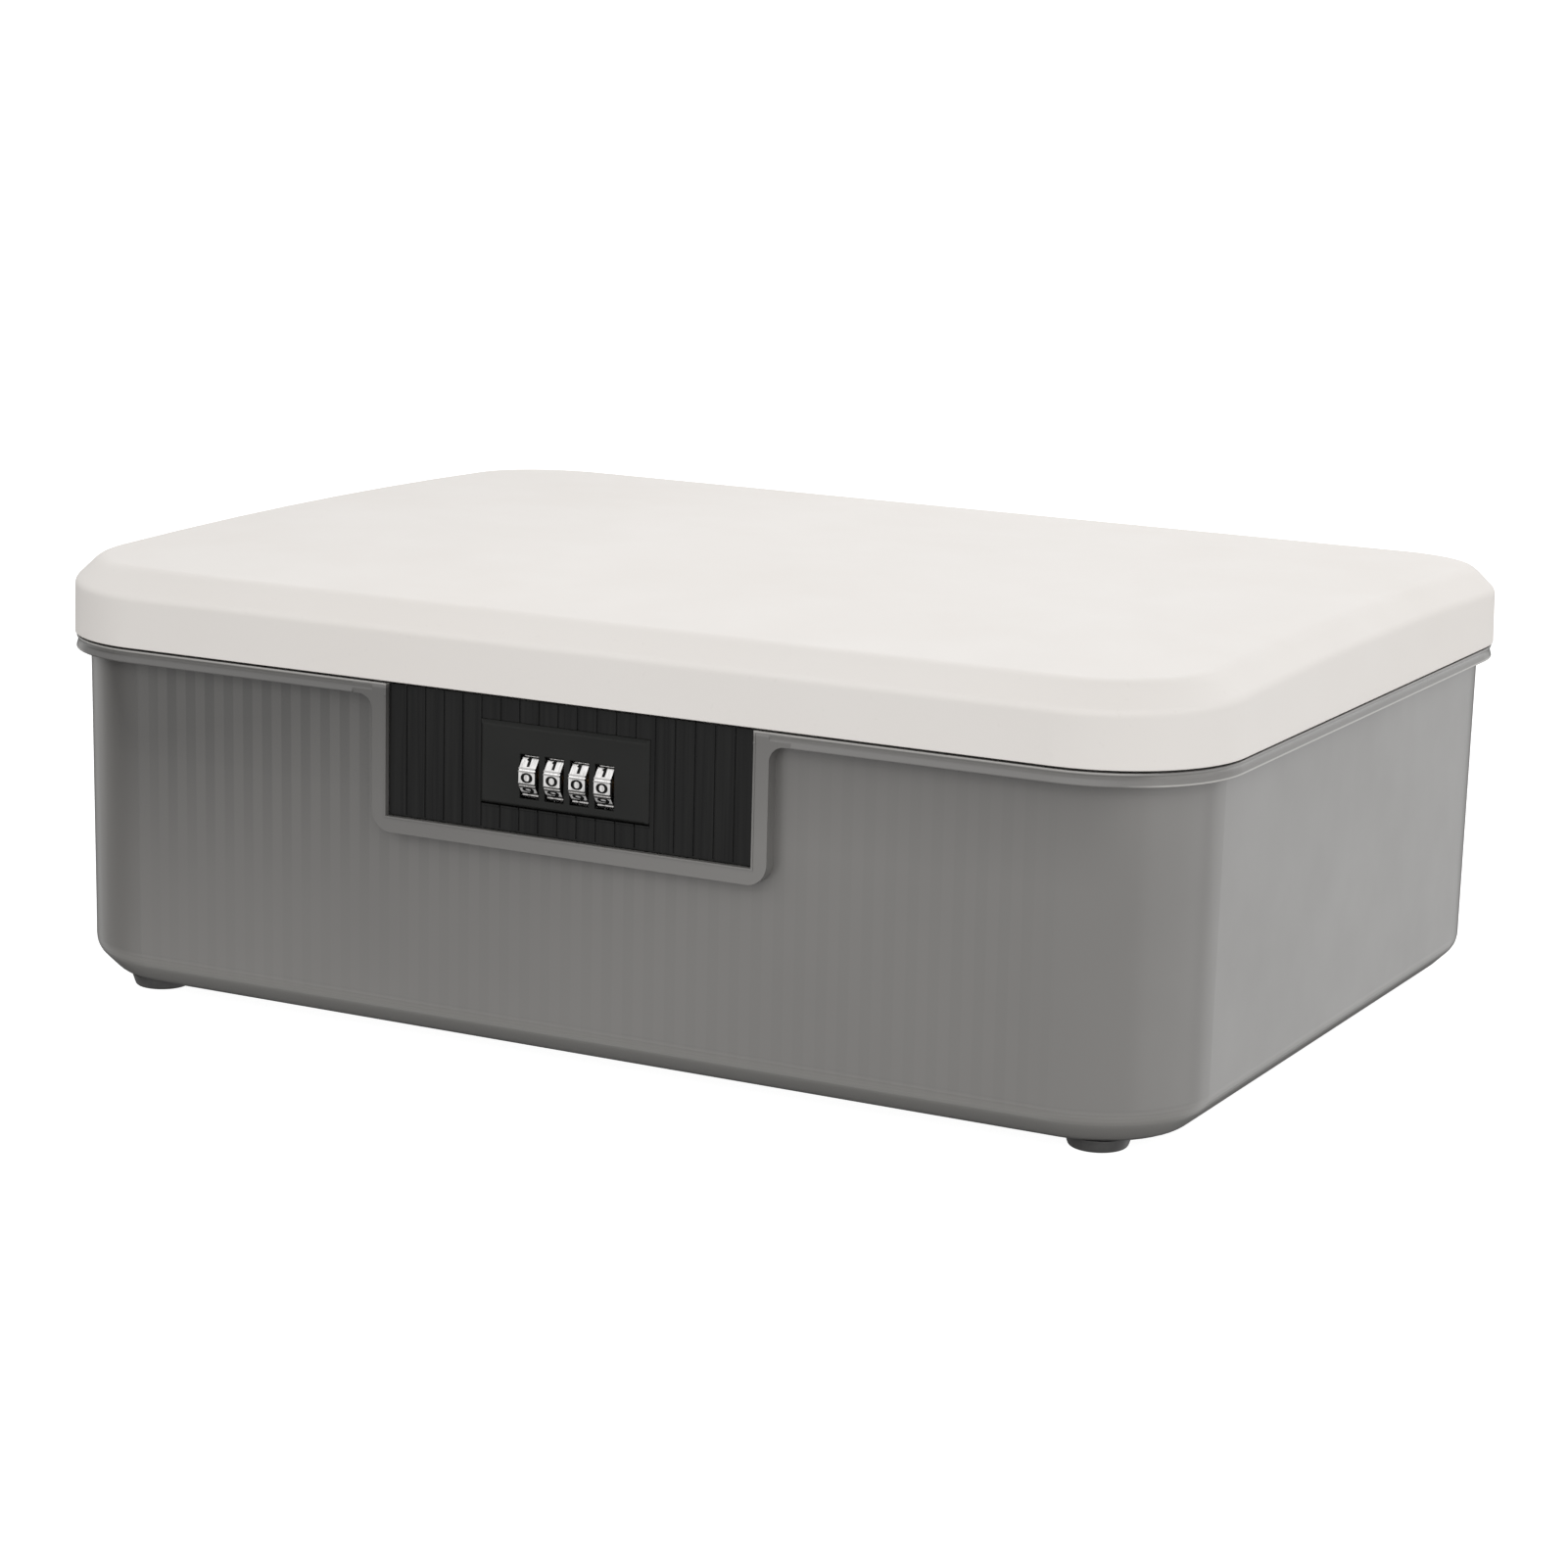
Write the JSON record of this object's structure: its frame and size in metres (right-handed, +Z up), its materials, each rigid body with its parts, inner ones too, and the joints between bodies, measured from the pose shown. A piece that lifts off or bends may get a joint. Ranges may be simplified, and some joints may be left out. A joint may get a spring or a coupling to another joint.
{
  "type": "combination lock box",
  "caption": "Low rounded storage chest with a hinged lid and a number-wheel combination lock set into the front, standing on small round feet.",
  "frame": {"origin": "on the ground under the middle of the part's outline, between the number wheels in front and the hinge behind", "axes": "+X to the right along the front, +Y from the front to the hinge at the back, +Z up"},
  "size_m": [0.3, 0.2323, 0.1073],
  "materials": {
    "body_plastic": "satin grey, slightly see-through",
    "lid_plastic": "warm white, fine matte grain",
    "panel_plastic": "near black, slightly glossy, finely grooved",
    "plate_plastic": "black satin",
    "case_plastic": "black, plain",
    "wheel_chrome": "bright plated with black numerals",
    "sleeve_brass": "plain turned",
    "plated_steel": "zinc plated",
    "bright_steel": "plain bright",
    "foot_rubber": "dark grey, matte"
  },
  "bodies": {
    "box": {"body_shell": "body_plastic", "lock_panel": "panel_plastic", "dial_plate": "plate_plastic", "lock_case": "case_plastic", "case_cover": "plated_steel", "wheel_axle": "bright_steel", "latch_spring": "bright_steel", "click_spring": "bright_steel", "panel_screws": "bright_steel", "case_screws": "bright_steel", "cover_screws": "bright_steel", "hinge_pin_left": "bright_steel", "hinge_pin_right": "bright_steel", "foot_front_left": "foot_rubber", "foot_front_right": "foot_rubber", "foot_rear_left": "foot_rubber", "foot_rear_right": "foot_rubber"},
    "lid": {"lid_shell": "lid_plastic", "lid_keeper": "plated_steel", "keeper_screws": "bright_steel"},
    "wheel_1": {"dial_wheel_1": "wheel_chrome", "code_sleeve_1": "sleeve_brass"},
    "wheel_2": {"dial_wheel_2": "wheel_chrome", "code_sleeve_2": "sleeve_brass"},
    "wheel_3": {"dial_wheel_3": "wheel_chrome", "code_sleeve_3": "sleeve_brass"},
    "wheel_4": {"dial_wheel_4": "wheel_chrome", "code_sleeve_4": "sleeve_brass"},
    "latch": {"latch_bar": "plated_steel"}
  },
  "joints": [
    {"name": "lid_hinge", "type": "hinge", "parent": "box", "child": "lid", "pos_m": [0, 0.113, 0.0867], "axis": [-1, 0, 0], "range_deg": [0, 100]},
    {"name": "wheel_1_turn", "type": "hinge", "parent": "box", "child": "wheel_1", "pos_m": [-0.00865, -0.1104, 0.06905], "axis": [1, 0, 0], "continuous": true},
    {"name": "wheel_2_turn", "type": "hinge", "parent": "box", "child": "wheel_2", "pos_m": [-0.00215, -0.1104, 0.06905], "axis": [1, 0, 0], "continuous": true},
    {"name": "wheel_3_turn", "type": "hinge", "parent": "box", "child": "wheel_3", "pos_m": [0.00435, -0.1104, 0.06905], "axis": [1, 0, 0], "continuous": true},
    {"name": "wheel_4_turn", "type": "hinge", "parent": "box", "child": "wheel_4", "pos_m": [0.01085, -0.1104, 0.06905], "axis": [1, 0, 0], "continuous": true},
    {"name": "latch_slide", "type": "slide", "parent": "box", "child": "latch", "axis": [1, 0, 0], "range_m": [0, 0.0014]}
  ]
}
